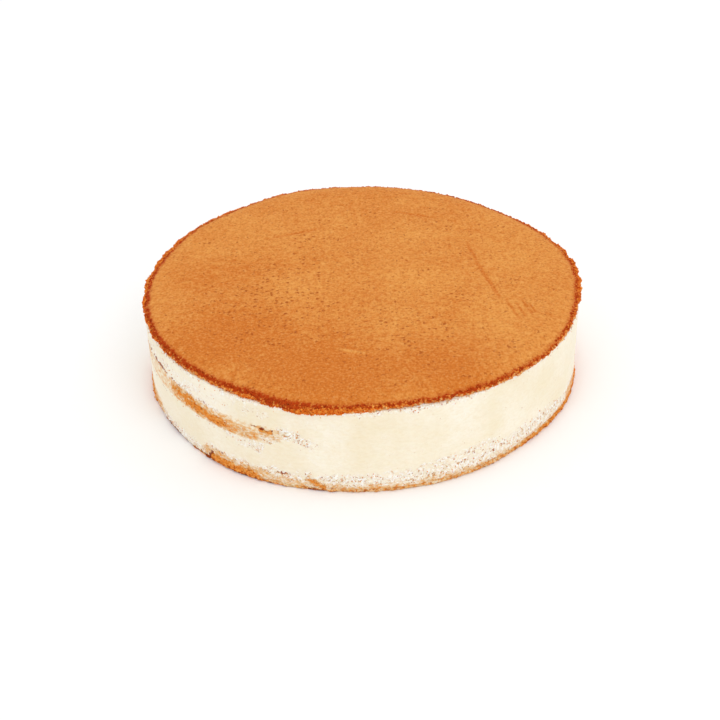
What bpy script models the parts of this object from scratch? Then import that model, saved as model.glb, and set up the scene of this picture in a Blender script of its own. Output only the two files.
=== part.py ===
"""A naked cake: three discs of sponge with two layers of cream between them.

Each cream layer also hangs a little way down over the side of the sponge below it, as it does when the
side is scraped with a palette knife. Where the knife went right down to the crumb, the sponge shows.

Metres, +Z up. The origin is the centre of the flat base, and the cake's front faces -Y. Angles round the side
run anticlockwise from +X, seen from above, so the front is at 270 degrees.
"""

import math

import bmesh
import bpy
from mathutils import Vector, noise

MM = 0.001

# Driving dimensions: a 26 cm cake, and the height of each layer from the bottom up
CAKE_RADIUS = 129.0 * MM
BOTTOM_SPONGE_HEIGHT = 10.5 * MM
LOWER_CREAM_HEIGHT = 16.5 * MM
MIDDLE_SPONGE_HEIGHT = 11.5 * MM
UPPER_CREAM_HEIGHT = 14.0 * MM
TOP_SPONGE_HEIGHT = 6.5 * MM

# Heights of the four joins between the layers, and of the top
JOIN_1 = BOTTOM_SPONGE_HEIGHT
JOIN_2 = JOIN_1 + LOWER_CREAM_HEIGHT
JOIN_3 = JOIN_2 + MIDDLE_SPONGE_HEIGHT
JOIN_4 = JOIN_3 + UPPER_CREAM_HEIGHT
CAKE_HEIGHT = JOIN_4 + TOP_SPONGE_HEIGHT

# Clearance between two pieces that touch
GAP = 0.3 * MM

# How finely the discs are turned, and where their flat middle gives way to the uneven rim
SEGMENTS = 144
FLAT_RADIUS = 96.0 * MM
# Points closer than this are one point
WELD = 0.01 * MM

# The cream wall, the depth of cream over a covered sponge, and how far bare crumb stands proud of the wall
WALL_RADIUS = 128.2 * MM
COAT_DEPTH = 2.0 * MM
BARE_PROUD = 0.5 * MM
# Rings of faces in the height of a cream wall
WALL_ROWS = 2

# The bottom sponge: a bare strip of crumb along its foot, where the coat begins, and its rounded lower edge
FOOT_STRIP = 2.6 * MM
COAT_FOOT = 4.2 * MM
COAT_FOOT_WAVE = 0.7 * MM
FOOT_ROUND_IN = 0.6 * MM
FOOT_ROUND_UP = 0.5 * MM
BOTTOM_ROWS = (7.0 * MM, FOOT_STRIP + 1.2 * MM, FOOT_STRIP, FOOT_ROUND_UP)
# Only the upper part of its rim follows the first join
JOIN_1_FROM = 8.5 * MM

# The middle sponge: its rings as shares of its height, and how far its two edges round off
MIDDLE_ROWS = (0.78, 0.5, 0.22)
MIDDLE_ROUND = 0.5 * MM

# The top sponge: the rings of its skin, and how the skin domes and then rolls over between the last of them
SKIN_RINGS = (0.0, 30.0 * MM, 60.0 * MM, 88.0 * MM, 108.0 * MM, 118.0 * MM, 123.5 * MM, 126.5 * MM)
SKIN_DOME = 0.2 * MM
SKIN_ROLL_FROM = 108.0 * MM
SKIN_ROLL_DEPTH = 1.9 * MM
# Its torn rim: how far in from the widest radius each ring stands, and how far below the top
TORN_RINGS = ((0.4 * MM, 3.3 * MM), (0.0, 4.6 * MM))
TORN_FROM = 125.0 * MM
UNDERCUT = 1.2 * MM

# Unevenness of the joins, of the top skin, of torn crumb and of the wall
JOIN_WAVE = 0.7 * MM
SKIN_WAVE = 0.45 * MM
CRUMB_RELIEF = 0.8 * MM
TOP_RIM_RELIEF = 1.7 * MM
WALL_WAVE = 0.25 * MM
# Lengths of the features in the noise that shapes crumb and skin
CRUMB_SIZE = 7.0 * MM
SKIN_SIZE = 34.0 * MM

# Hand-cut outlines, as bulges: angle in degrees, height in mm (below 0 for a flat) and half width in degrees
TOP_BULGES = (
    (8, 2.4, 15),
    (47, -2.4, 18),
    (108, 2.8, 16),
    (143, 1.2, 10),
    (222, -1.3, 22),
    (257, 2.0, 8),
    (287, -2.4, 15),
)
SIDE_BULGES = (
    (97, 0.9, 30),
    (186, 0.5, 16),
    (240, 1.1, 13),
    (313, -1.3, 14),
    (342, 1.2, 12),
)

# Bare windows in the coat, as angle and half width in degrees: the first of each faces the front left
MIDDLE_WINDOWS = ((223, 15), (62, 15), (131, 11))
BOTTOM_WINDOWS = ((238, 14), (354, 11), (190, 9), (83, 12))
# Height of the middle of those windows, and how far they reach above and below it
MIDDLE_WINDOW_HEIGHT = JOIN_2 + 5.4 * MM
MIDDLE_WINDOW_REACH = 6.6 * MM
BOTTOM_WINDOW_REACH = 9.0 * MM
# How sharply a window ends, and how ragged its edge is
WINDOW_SHARPNESS = 3.5
WINDOW_RAGGED = 0.5

# Where in the noise each uneven thing is read, so that no two are alike
SEED_BOTTOM_CRUMB = 1.0
SEED_MIDDLE_CRUMB = 2.0
SEED_TOP_CRUMB = 3.0
SEED_SKIN = 5.0
SEED_JOIN_1 = 11.0
SEED_JOIN_2 = 12.0
SEED_JOIN_3 = 13.0
SEED_JOIN_4 = 14.0
SEED_COAT_FOOT = 21.0
SEED_WINDOWS = 33.0
SEED_WALL = 40.0

SKIN_COLOUR = (0.75, 0.27, 0.06, 1.0)
SKIN_ROUGHNESS = 0.85
CRUMB_COLOUR = (0.72, 0.33, 0.09, 1.0)
CRUMB_ROUGHNESS = 0.9
CREAM_COLOUR = (0.93, 0.84, 0.66, 1.0)
CREAM_ROUGHNESS = 0.45
# Edges that turn more than this are drawn sharp
SHARP_ANGLE = math.radians(40)


def smooth_step(x):
    """A smooth rise from 0 at x = 0 to 1 at x = 1."""
    x = min(1.0, max(0.0, x))
    return x * x * (3.0 - 2.0 * x)


def turn_between(a, b):
    """The angle in degrees from b to a, between -180 and 180."""
    return (a - b + 180.0) % 360.0 - 180.0


def bulge_at(theta, bulges):
    """The sum of the bulges at an angle in degrees, in metres."""
    return sum(size * MM * math.exp(-(turn_between(theta, at) / width) ** 2) for at, size, width in bulges)


def ripple(theta, height, size, seed):
    """Noise that runs round the cake and closes on itself, between about -1 and 1."""
    a = math.radians(theta)
    at = Vector((math.cos(a) * CAKE_RADIUS, math.sin(a) * CAKE_RADIUS, height)) / size
    return noise.noise(at + Vector((seed, 0.0, 0.0)))


def window_at(theta, height, windows, middle, reach):
    """1 inside a bare window, 0 well outside it. Windows are ragged ovals round one height."""
    rise = (height - middle) / reach
    depth = max(1.0 - math.hypot(turn_between(theta, at) / half, rise) for at, half in windows)
    ragged = WINDOW_RAGGED * ripple(theta, height, CRUMB_SIZE, SEED_WINDOWS)
    return smooth_step(0.5 + WINDOW_SHARPNESS * depth + ragged)


def join_wave(theta, seed):
    """How far a join between two layers rises or falls at the rim."""
    return JOIN_WAVE * ripple(theta, 0.0, 5 * CRUMB_SIZE, seed)


def coat_foot_wave(theta):
    """The ragged lower edge of the coat over the bottom sponge."""
    return COAT_FOOT_WAVE * ripple(theta, 0.0, 2 * CRUMB_SIZE, SEED_COAT_FOOT)


def wall_offset(theta, height):
    """How far the scraped cream wall stands out of a true cylinder."""
    return bulge_at(theta, SIDE_BULGES) + WALL_WAVE * ripple(theta, height, 4 * CRUMB_SIZE, SEED_WALL)


def crumb_edge(theta, height, bare, seed):
    """How far a sponge's torn edge stands out of the wall: proud where bare, inside where cream covers it."""
    base = BARE_PROUD * bare - COAT_DEPTH * (1.0 - bare)
    return bulge_at(theta, SIDE_BULGES) + base + CRUMB_RELIEF * ripple(theta, height, CRUMB_SIZE, seed)


def rim_share(radius, rim):
    """0 in the flat middle of a disc, 1 at its rim."""
    return smooth_step((radius - FLAT_RADIUS) / (rim - FLAT_RADIUS))


def turned(name, profile):
    """A closed mesh turned about Z from (radius, height) points, from the top of the axis to its foot."""
    line = bpy.data.meshes.new(name)
    points = [(radius, 0.0, height) for radius, height in profile]
    line.from_pydata(points, [(i, i + 1) for i in range(len(points) - 1)], [])
    guide = bpy.data.objects.new(name, line)
    bpy.context.scene.collection.objects.link(guide)
    screw = guide.modifiers.new("Turn", "SCREW")
    screw.axis = "Z"
    screw.steps = SEGMENTS
    screw.render_steps = SEGMENTS
    screw.use_merge_vertices = True
    screw.merge_threshold = WELD
    solid = bpy.data.meshes.new_from_object(guide.evaluated_get(bpy.context.evaluated_depsgraph_get()))
    bpy.data.objects.remove(guide)
    bm = bmesh.new()
    bm.from_mesh(solid)
    bmesh.ops.remove_doubles(bm, verts=bm.verts, dist=WELD)
    bmesh.ops.recalc_face_normals(bm, faces=bm.faces)
    bmesh.ops.triangulate(bm, faces=bm.faces, quad_method="FIXED")
    bm.to_mesh(solid)
    bm.free()
    return solid


def reshape(mesh, rule):
    """Moves every vertex to the (radius, height) that rule gives for its radius, angle and height."""
    for vertex in mesh.vertices:
        x, y, height = vertex.co
        radius = math.hypot(x, y)
        if radius < WELD:
            continue
        theta = math.degrees(math.atan2(y, x))
        new_radius, new_height = rule(radius, theta, height)
        vertex.co = (x * new_radius / radius, y * new_radius / radius, new_height)


def grown(mesh, gap):
    """The same disc, larger by gap all round: the shape to cut from the cream that lies round it."""
    heights = [vertex.co.z for vertex in mesh.vertices]
    middle = (max(heights) + min(heights)) / 2
    half = (max(heights) - min(heights)) / 2
    for vertex in mesh.vertices:
        radius = math.hypot(vertex.co.x, vertex.co.y)
        if radius > FLAT_RADIUS + MM:
            vertex.co.x *= 1.0 + gap / radius
            vertex.co.y *= 1.0 + gap / radius
        vertex.co.z += gap * (vertex.co.z - middle) / half
    return mesh


def place(name, mesh, colour, roughness, collection):
    """Adds a mesh to the cake as a named part with its own material."""
    part = bpy.data.objects.new(name, mesh)
    collection.objects.link(part)
    material = bpy.data.materials.new(name)
    material.use_nodes = True
    shader = material.node_tree.nodes["Principled BSDF"]
    shader.inputs["Base Color"].default_value = colour
    shader.inputs["Roughness"].default_value = roughness
    shader.inputs["Metallic"].default_value = 0.0
    mesh.materials.clear()
    mesh.materials.append(material)
    mesh.shade_smooth()
    mesh.set_sharp_from_angle(angle=SHARP_ANGLE)
    return part


def bottom_sponge_mesh():
    """The bottom disc, flat underneath, with a bare strip of crumb along its foot."""
    top = JOIN_1 - GAP / 2
    profile = [(0.0, top), (FLAT_RADIUS, top), (WALL_RADIUS, top)]
    profile += [(WALL_RADIUS, height) for height in BOTTOM_ROWS]
    profile += [(WALL_RADIUS - FOOT_ROUND_IN, 0.0), (FLAT_RADIUS, 0.0), (0.0, 0.0)]

    def rule(radius, theta, height):
        share = rim_share(radius, WALL_RADIUS)
        window = window_at(theta, height, BOTTOM_WINDOWS, 0.0, BOTTOM_WINDOW_REACH)
        above_strip = smooth_step((height - FOOT_STRIP) / MM)
        bare = 1.0 - above_strip * (1.0 - window)
        lift = share * join_wave(theta, SEED_JOIN_1) if height > JOIN_1_FROM else 0.0
        return radius + share * crumb_edge(theta, height, bare, SEED_BOTTOM_CRUMB), height + lift

    mesh = turned("sponge_bottom", profile)
    reshape(mesh, rule)
    return mesh


def middle_sponge_mesh():
    """The middle disc, which reaches the wall in its windows and lies under the cream elsewhere."""
    low = JOIN_2 + GAP / 2
    top = JOIN_3 - GAP / 2
    profile = [(0.0, top), (FLAT_RADIUS, top), (WALL_RADIUS - MIDDLE_ROUND, top)]
    profile += [(WALL_RADIUS, JOIN_2 + share * MIDDLE_SPONGE_HEIGHT) for share in MIDDLE_ROWS]
    profile += [(WALL_RADIUS - MIDDLE_ROUND, low), (FLAT_RADIUS, low), (0.0, low)]

    def rule(radius, theta, height):
        share = rim_share(radius, WALL_RADIUS)
        bare = window_at(theta, height, MIDDLE_WINDOWS, MIDDLE_WINDOW_HEIGHT, MIDDLE_WINDOW_REACH)
        upper = height > (JOIN_2 + JOIN_3) / 2
        lift = share * join_wave(theta, SEED_JOIN_3 if upper else SEED_JOIN_2)
        return radius + share * crumb_edge(theta, height, bare, SEED_MIDDLE_CRUMB), height + lift

    mesh = turned("sponge_middle", profile)
    reshape(mesh, rule)
    return mesh


def skin_drop(radius):
    """How far the baked skin lies below the middle of the top."""
    rolled = max(0.0, (radius - SKIN_ROLL_FROM) / (SKIN_RINGS[-1] - SKIN_ROLL_FROM))
    return SKIN_DOME * (radius / CAKE_RADIUS) ** 2 + SKIN_ROLL_DEPTH * rolled**3


def top_sponge_mesh():
    """The top disc: a smooth baked skin that rolls over into a rim of torn crumb, wider than the wall."""
    low = JOIN_4 + GAP / 2
    profile = [(radius, CAKE_HEIGHT - skin_drop(radius)) for radius in SKIN_RINGS]
    profile += [(CAKE_RADIUS - inward, CAKE_HEIGHT - depth) for inward, depth in TORN_RINGS]
    profile += [(CAKE_RADIUS - UNDERCUT, low), (FLAT_RADIUS, low), (0.0, low)]

    def rule(radius, theta, height):
        share = rim_share(radius, CAKE_RADIUS)
        torn = smooth_step((radius - TORN_FROM) / (CAKE_RADIUS - TORN_FROM))
        crags = TOP_RIM_RELIEF * ripple(theta, height, CRUMB_SIZE, SEED_TOP_CRUMB)
        out = share * bulge_at(theta, TOP_BULGES) + torn * crags
        if height < JOIN_4 + GAP:
            return radius + out, height + share * join_wave(theta, SEED_JOIN_4)
        a = math.radians(theta)
        at = Vector((math.cos(a) * radius, math.sin(a) * radius, 0.0)) / SKIN_SIZE
        return radius + out, height + SKIN_WAVE * noise.noise(at + Vector((SEED_SKIN, 0.0, 0.0)))

    mesh = turned("sponge_top", profile)
    reshape(mesh, rule)
    return mesh


def keep_largest_body(mesh):
    """Drops the loose scraps that a cut leaves, such as a film of cream in a dip of the bare crumb."""
    bm = bmesh.new()
    bm.from_mesh(mesh)
    left = set(bm.verts)
    bodies = []
    while left:
        body = {left.pop()}
        front = list(body)
        while front:
            near = {edge.other_vert(vert) for vert in front for edge in vert.link_edges}
            front = list(near & left)
            left -= near
            body |= near
        bodies.append(body)
    largest = max(bodies, key=len)
    scraps = [vert for body in bodies if body is not largest for vert in body]
    bmesh.ops.delete(bm, geom=scraps, context="VERTS")
    bm.to_mesh(mesh)
    bm.free()


def cream_layer(name, low, high, low_wave, high_wave, sponge_shape, collection):
    """A layer of cream: a disc down to low at the rim, less the shape of the sponge that it covers.

    low_wave and high_wave give the rise of the lower and upper rim at an angle.
    """
    wall = [(WALL_RADIUS, high - i * (high - low) / WALL_ROWS) for i in range(WALL_ROWS + 1)]
    profile = [(0.0, high), (FLAT_RADIUS, high)] + wall + [(FLAT_RADIUS, low), (0.0, low)]

    def rule(radius, theta, height):
        share = rim_share(radius, WALL_RADIUS)
        up = (height - low) / (high - low)
        lift = up * high_wave(theta) + (1.0 - up) * low_wave(theta)
        return radius + share * wall_offset(theta, height), height + share * lift

    mesh = turned(name, profile)
    reshape(mesh, rule)
    cream = place(name, mesh, CREAM_COLOUR, CREAM_ROUGHNESS, collection)

    cutter = bpy.data.objects.new("cutter", sponge_shape)
    bpy.context.scene.collection.objects.link(cutter)
    cutter.hide_render = True
    cutter.display_type = "WIRE"
    cut = cream.modifiers.new("Sponge", "BOOLEAN")
    cut.operation = "DIFFERENCE"
    cut.object = cutter
    made = bpy.data.meshes.new_from_object(cream.evaluated_get(bpy.context.evaluated_depsgraph_get()))
    cream.modifiers.clear()
    keep_largest_body(made)
    cream.data = made
    bpy.data.objects.remove(cutter)
    return cream


def build_cake():
    """Builds every layer from the bottom up."""
    for old in list(bpy.data.objects):
        bpy.data.objects.remove(old)
    cake = bpy.data.collections.new("naked_cake")
    bpy.context.scene.collection.children.link(cake)

    place("sponge_bottom", bottom_sponge_mesh(), CRUMB_COLOUR, CRUMB_ROUGHNESS, cake)
    cream_layer(
        "cream_lower",
        COAT_FOOT,
        JOIN_2 - GAP / 2,
        coat_foot_wave,
        lambda theta: join_wave(theta, SEED_JOIN_2),
        grown(bottom_sponge_mesh(), GAP),
        cake,
    )
    place("sponge_middle", middle_sponge_mesh(), CRUMB_COLOUR, CRUMB_ROUGHNESS, cake)
    cream_layer(
        "cream_upper",
        JOIN_2 + GAP / 2,
        JOIN_4 - GAP / 2,
        lambda theta: join_wave(theta, SEED_JOIN_2),
        lambda theta: join_wave(theta, SEED_JOIN_4),
        grown(middle_sponge_mesh(), GAP),
        cake,
    )
    place("sponge_top", top_sponge_mesh(), SKIN_COLOUR, SKIN_ROUGHNESS, cake)


build_cake()
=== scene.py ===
"""A naked cake: discs of baked sponge with cream between them, scraped thin over the side.

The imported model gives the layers, and this script dresses them. Shapes are worked out in millimetres and
degrees and made in metres, +Z up. Angles round the side run anticlockwise from +X, seen from above, and the
side that the photograph shows faces -Y, at 270 degrees.
"""

from __future__ import annotations

import logging
import math
from collections.abc import Mapping, Sequence
from dataclasses import asdict, dataclass, fields
from enum import Enum
from functools import partial
from typing import Any

import bpy
import numpy as np
from mathutils import Matrix, Vector, noise

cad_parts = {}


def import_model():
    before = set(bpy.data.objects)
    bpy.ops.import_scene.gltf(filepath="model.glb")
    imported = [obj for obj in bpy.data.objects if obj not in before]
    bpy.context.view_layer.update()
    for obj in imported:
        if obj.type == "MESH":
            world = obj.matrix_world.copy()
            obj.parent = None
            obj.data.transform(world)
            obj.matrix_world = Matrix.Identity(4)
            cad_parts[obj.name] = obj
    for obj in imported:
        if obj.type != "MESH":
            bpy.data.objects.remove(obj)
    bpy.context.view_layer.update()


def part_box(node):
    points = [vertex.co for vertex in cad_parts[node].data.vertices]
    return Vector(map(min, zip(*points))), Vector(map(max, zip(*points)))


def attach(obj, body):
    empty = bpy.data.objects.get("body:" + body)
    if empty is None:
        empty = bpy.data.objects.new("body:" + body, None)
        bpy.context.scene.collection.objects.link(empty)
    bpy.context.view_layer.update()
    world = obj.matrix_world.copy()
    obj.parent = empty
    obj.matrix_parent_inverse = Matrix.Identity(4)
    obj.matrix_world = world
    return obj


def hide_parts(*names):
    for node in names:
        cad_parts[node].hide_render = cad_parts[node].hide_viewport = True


LOG = logging.getLogger("naked_cake")
MM = 0.001
CM = 0.01

# The kinds of node and socket that are used most
ATTRIBUTE = "ShaderNodeAttribute"
MAP_RANGE = "ShaderNodeMapRange"
MATH = "ShaderNodeMath"
MIX = "ShaderNodeMix"
NAMED_ATTRIBUTE = "GeometryNodeInputNamedAttribute"
NOISE = "ShaderNodeTexNoise"
VECTOR_MATH = "ShaderNodeVectorMath"
VORONOI = "ShaderNodeTexVoronoi"
FLOAT_SOCKET = "NodeSocketFloat"


def smooth_step(x: np.ndarray | float) -> np.ndarray:
    """A smooth rise from 0 at x = 0 to 1 at x = 1."""
    x = np.clip(x, 0.0, 1.0)
    return x * x * (3.0 - 2.0 * x)


def turn_between(a: np.ndarray, b: float) -> np.ndarray:
    """The angle in degrees from b to a, between -180 and 180."""
    return (a - b + 180.0) % 360.0 - 180.0


def polar(radius: np.ndarray | float, angle: np.ndarray, height: np.ndarray | float) -> np.ndarray:
    """Points from a radius and a height in millimetres and an angle in degrees.

    Args:
        radius: One radius, or one for each angle.
        angle: The angles.
        height: One height, or one for each angle.

    Returns:
        The points, one a row.
    """
    turned = np.radians(angle)
    level = np.broadcast_to(height, turned.shape)
    return np.stack([radius * np.cos(turned), radius * np.sin(turned), level], axis=-1)


def linear(code: str) -> tuple[float, float, float, float]:
    """Turns an sRGB colour to Blender's linear red, green, blue and alpha.

    Args:
        code: The colour in hex, with a # before it.

    Returns:
        The four values.
    """
    parts = [int(code[i : i + 2], 16) / 255 for i in (1, 3, 5)]
    red, green, blue = (c / 12.92 if c <= 0.04045 else ((c + 0.055) / 1.055) ** 2.4 for c in parts)
    return red, green, blue, 1.0


def times_a_metre(size: float) -> float:
    """How often a pattern with features of that many millimetres repeats in a metre."""
    return 1 / (size * MM)


def add_node(
    tree: bpy.types.NodeTree, kind: str, values: Mapping[str, Any] | Sequence[Any] = (), **settings: Any
) -> Any:
    """Adds a node to a tree, with its settings and its inputs.

    Args:
        tree: The node tree.
        kind: Blender's name for the kind of node.
        values: What goes in the node's first inputs, in their order, or in the inputs of those names: a
            value, a hex colour, an output, or a node that gives it by its first output.
        settings: The node's properties.

    Returns:
        The node.
    """
    node = tree.nodes.new(kind)
    for name, value in settings.items():
        setattr(node, name, value)
    sockets = [socket for socket in node.inputs if socket.enabled]
    if isinstance(values, Mapping):
        sockets = [next(socket for socket in sockets if socket.name == name) for name in values]
        values = tuple(values.values())
    for socket, value in zip(sockets, values):
        if isinstance(value, bpy.types.Node):
            value = next(output for output in value.outputs if output.enabled)
        if isinstance(value, bpy.types.NodeSocket):
            tree.links.new(value, socket)
        elif isinstance(value, str) and value.startswith("#"):
            socket.default_value = linear(value)
        else:
            socket.default_value = value
    return node


@dataclass(frozen=True)
class Ring:
    """Points round the side: the angle of each in degrees, and its height in millimetres."""

    angle: np.ndarray
    height: np.ndarray


@dataclass(frozen=True)
class Ripple:
    """Smooth noise: its height, how long a feature is, which part is read, and how flat features are."""

    height: float
    size: float
    seed: float
    flatness: float = 1.0

    def at(self, points: np.ndarray) -> np.ndarray:
        """Its height at each point, where the points are given one a row in millimetres."""
        places = points * (1.0, 1.0, self.flatness) / self.size + (self.seed, 0.0, 0.0)
        return self.height * np.array([noise.noise(place) for place in places.tolist()])


@dataclass(frozen=True)
class Bulge:
    """A swell in a hand-cut outline, or a flat where its height is below 0."""

    angle: float
    height: float
    half: float


@dataclass(frozen=True)
class Smear:
    """A streak along the side: its ends as angle and height, and its half width in millimetres."""

    start: tuple[float, float]
    end: tuple[float, float]
    half: float
    strength: float = 1.0

    def inside(self, radius: float, ring: Ring) -> np.ndarray:
        """How far points lie inside the streak's edge.

        Args:
            radius: The radius of the side, in millimetres.
            ring: The points.

        Returns:
            The millimetres, below 0 outside the streak.
        """
        degree = math.radians(1.0) * radius
        along = turn_between(ring.angle, self.start[0]) * degree
        rise = ring.height - self.start[1]
        run = (turn_between(self.end[0], self.start[0]) * degree, self.end[1] - self.start[1])
        share = np.clip((along * run[0] + rise * run[1]) / (run[0] ** 2 + run[1] ** 2), 0.0, 1.0)
        return self.half - np.hypot(along - share * run[0], rise - share * run[1])


@dataclass(frozen=True)
class CakeForm:
    """The cake's driving sizes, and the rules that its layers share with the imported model."""

    radius: float = 129.0
    wall_radius: float = 128.2
    foot: float = 0.15
    join_1: float = 10.5
    join_2: float = 27.0
    join_3: float = 38.5
    join_4: float = 52.5
    height: float = 59.0
    flat_radius: float = 96.0
    crumb_size: float = 7.0
    join_wave_height: float = 0.7
    wall_wave_height: float = 0.25
    rim_seed: float = 14.0
    wall_seed: float = 40.0
    top_bulges: tuple[Bulge, ...] = (
        Bulge(8, 2.4, 15),
        Bulge(47, -2.4, 18),
        Bulge(108, 2.8, 16),
        Bulge(143, 1.2, 10),
        Bulge(222, -1.3, 22),
        Bulge(257, 2.0, 8),
        Bulge(287, -2.4, 15),
    )
    side_bulges: tuple[Bulge, ...] = (
        Bulge(97, 0.9, 30),
        Bulge(186, 0.5, 16),
        Bulge(240, 1.1, 13),
        Bulge(313, -1.3, 14),
        Bulge(342, 1.2, 12),
    )

    def side(self, angle: np.ndarray, height: np.ndarray | float = 0.0) -> np.ndarray:
        """Points of the plain side, where noise runs round the cake and closes on itself."""
        return polar(self.radius, angle, height)

    def outline(self, angle: np.ndarray, bulges: tuple[Bulge, ...]) -> np.ndarray:
        """How far an outline with these bulges stands out of a circle at each angle."""
        swells = [b.height * np.exp(-((turn_between(angle, b.angle) / b.half) ** 2)) for b in bulges]
        return np.sum(swells, axis=0)

    def join_wave(self, angle: np.ndarray, seed: float) -> np.ndarray:
        """How far the join that a seed stands for rises or falls at the rim."""
        return Ripple(self.join_wave_height, 5 * self.crumb_size, seed).at(self.side(angle))

    def wall(self, ring: Ring) -> np.ndarray:
        """Radius of the scraped wall.

        Args:
            ring: The points of the wall.

        Returns:
            The radius at each point.
        """
        wave = Ripple(self.wall_wave_height, 4 * self.crumb_size, self.wall_seed)
        bulge = self.outline(ring.angle, self.side_bulges)
        return self.wall_radius + bulge + wave.at(self.side(ring.angle, ring.height))


@dataclass(frozen=True)
class Coat:
    """How deep the cream lies over the sides of the sponges, and where crumbs are dragged through it."""

    form: CakeForm
    full: float = 2.0
    sheer: float = 0.42
    bare: float = -0.6
    bare_softness: float = 2.4
    sheer_softness: float = 6.5
    show_softness: float = 6.0
    sheer_show: float = 0.54
    crack_softness: float = 0.9
    speck_softness: float = 4.0
    foot_height: float = 1.2
    foot_fade: float = 1.4
    show_raggedness: float = 0.6
    crack_raggedness: float = 0.5
    show_above_foot: float = 0.6
    show_foot_fade: float = 3.08
    rim_specks: tuple[float, float] = (0.45, 0.95)
    rim_specks_from: float = 3.6
    rim_specks_fade: float = 3.0
    edge_waves: tuple[Ripple, ...] = (
        Ripple(2.2, 8.0, 34.0, 2.0),
        Ripple(1.5, 3.6, 33.0),
        Ripple(1.3, 1.9, 35.0, 1.5),
    )
    foot_waves: tuple[Ripple, ...] = (
        Ripple(0.8, 9.0, 21.0),
        Ripple(0.5, 3.0, 22.0),
    )
    speck_clumps: Ripple = Ripple(1.2, 24.0, 51.0)
    bare_streaks: tuple[Smear, ...] = (
        Smear((214, 34.4), (222, 32.6), 1.5),
        Smear((220.5, 32.4), (233, 31.0), 2.8),
        Smear((219.5, 37.0), (228, 33.5), 1.3),
        Smear((197, 25.0), (208, 25.2), 0.5),
        Smear((244.6, 35.4), (247, 34.5), 1.4),
        Smear((229.5, 2.2), (242, 1.0), 4.2),
        Smear((243, 0.6), (252, 0.0), 1.2),
        Smear((256, 7.0), (259.5, 3.0), 0.9),
        Smear((349, 0.0), (364, 0.0), 8.5),
        Smear((182, 0.0), (194, 0.0), 6.2),
        Smear((46, 30.0), (57, 32.6), 1.2),
        Smear((56, 33.6), (70, 31.4), 3.0),
        Smear((68, 35.8), (80, 36.4), 0.8),
        Smear((119, 35.0), (131, 32.6), 2.7),
        Smear((130, 30.8), (144, 29.6), 1.0),
        Smear((75, 0.8), (84, 1.6), 4.6),
        Smear((84, 0.6), (97, 0.4), 2.4),
    )
    sheer_streaks: tuple[Smear, ...] = (
        Smear((214, 33.2), (236, 31.0), 6.0),
        Smear((214, 32.4), (242, 30.2), 6.8, 0.62),
        Smear((196, 34.6), (215, 33.8), 4.4, 0.55),
        Smear((230, 28.5), (243, 27.5), 5.0, 0.85),
        Smear((234, 31.5), (248, 33.0), 3.4, 0.76),
        Smear((190, 28.5), (212, 28.5), 2.4, 0.7),
        Smear((176, 36.0), (196, 34.8), 5.0, 0.75),
        Smear((227, 6.0), (244, 5.0), 4.2, 0.8),
        Smear((243, 3.6), (260, 3.2), 3.8, 0.66),
        Smear((262, 1.0), (345, 1.0), 3.4),
        Smear((340, 1.0), (372, 1.0), 12.0),
        Smear((175, 1.0), (201, 1.0), 9.4, 0.85),
        Smear((38, 30.5), (60, 32.5), 4.2),
        Smear((56, 33.0), (76, 31.0), 6.0),
        Smear((72, 34.0), (88, 35.5), 3.4, 0.8),
        Smear((112, 35.5), (136, 32.0), 5.2),
        Smear((132, 30.0), (152, 28.5), 3.6, 0.85),
        Smear((66, 1.5), (88, 2.0), 7.0),
        Smear((86, 1.0), (106, 1.0), 5.0),
        Smear((12, 1.0), (66, 1.0), 3.4),
        Smear((104, 1.0), (175, 1.0), 3.4),
    )
    foot_bulges: tuple[Bulge, ...] = (
        Bulge(212, -2.0, 13),
        Bulge(325, 2.0, 24),
        Bulge(20, 1.6, 20),
        Bulge(120, 1.4, 16),
        Bulge(160, 1.2, 12),
    )
    foot_film: tuple[Bulge, ...] = (
        Bulge(283, 0.68, 34),
        Bulge(118, 0.5, 26),
        Bulge(155, 0.4, 18),
    )
    # Dark lines painted as shadow in the gaps above and below the bare sponge, and along the foot
    cracks: tuple[Smear, ...] = (
        Smear((193, 39.8), (214, 39.4), 0.4),
        Smear((214, 39.2), (231, 38.2), 0.25, 0.85),
        Smear((242, 36.9), (248, 36.2), 0.15, 0.66),
        Smear((231, 9.4), (257, 9.0), 0.2, 0.52),
        Smear((200, 1.4), (229, 1.2), 0.8, 0.9),
        Smear((227.4, 2.5), (228.6, 6.5), 0.8, 0.9),
        Smear((229, 0.5), (264, 0.5), 0.5, 0.8),
        Smear((196, 24.6), (209, 24.8), 0.2, 0.75),
        Smear((48, 37.6), (66, 38.4), 0.2, 0.75),
        Smear((118, 39.0), (129, 38.0), 0.2, 0.75),
    )
    dragged_crumbs: tuple[Smear, ...] = (
        Smear((264, 5.0), (330, 5.5), 7.0, 0.9),
        Smear((284, 11.0), (303, 15.0), 5.0, 0.7),
        Smear((300, 10.0), (326, 13.0), 4.0, 0.55),
        Smear((330, 7.0), (354, 9.0), 6.0, 0.8),
        Smear((229, 8.6), (258, 8.2), 2.4, 1.0),
        Smear((228, 7.0), (262, 6.0), 4.8, 0.8),
        Smear((197, 3.0), (228, 3.0), 4.2, 1.0),
        Smear((195, 39.6), (232, 38.2), 2.2, 1.0),
        Smear((250, 36.5), (257, 30.5), 3.6, 1.0),
        Smear((234, 29.6), (248, 31.0), 3.6, 0.85),
        Smear((233, 30.0), (243, 24.0), 4.5, 0.75),
        Smear((212, 29.0), (234, 28.0), 3.4, 0.5),
        Smear((222, 44.0), (246, 47.0), 3.4, 0.3),
        Smear((198, 43.0), (226, 43.5), 3.6, 0.5),
        Smear((44, 37.0), (66, 38.0), 2.0, 0.9),
        Smear((78, 31.0), (94, 29.0), 4.4, 0.6),
        Smear((104, 37.0), (120, 37.5), 4.0, 0.6),
        Smear((20, 44.0), (44, 47.0), 3.4, 0.25),
        Smear((8, 5.0), (64, 5.0), 6.0, 0.85),
        Smear((104, 5.0), (172, 5.0), 6.0, 0.85),
    )

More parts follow.
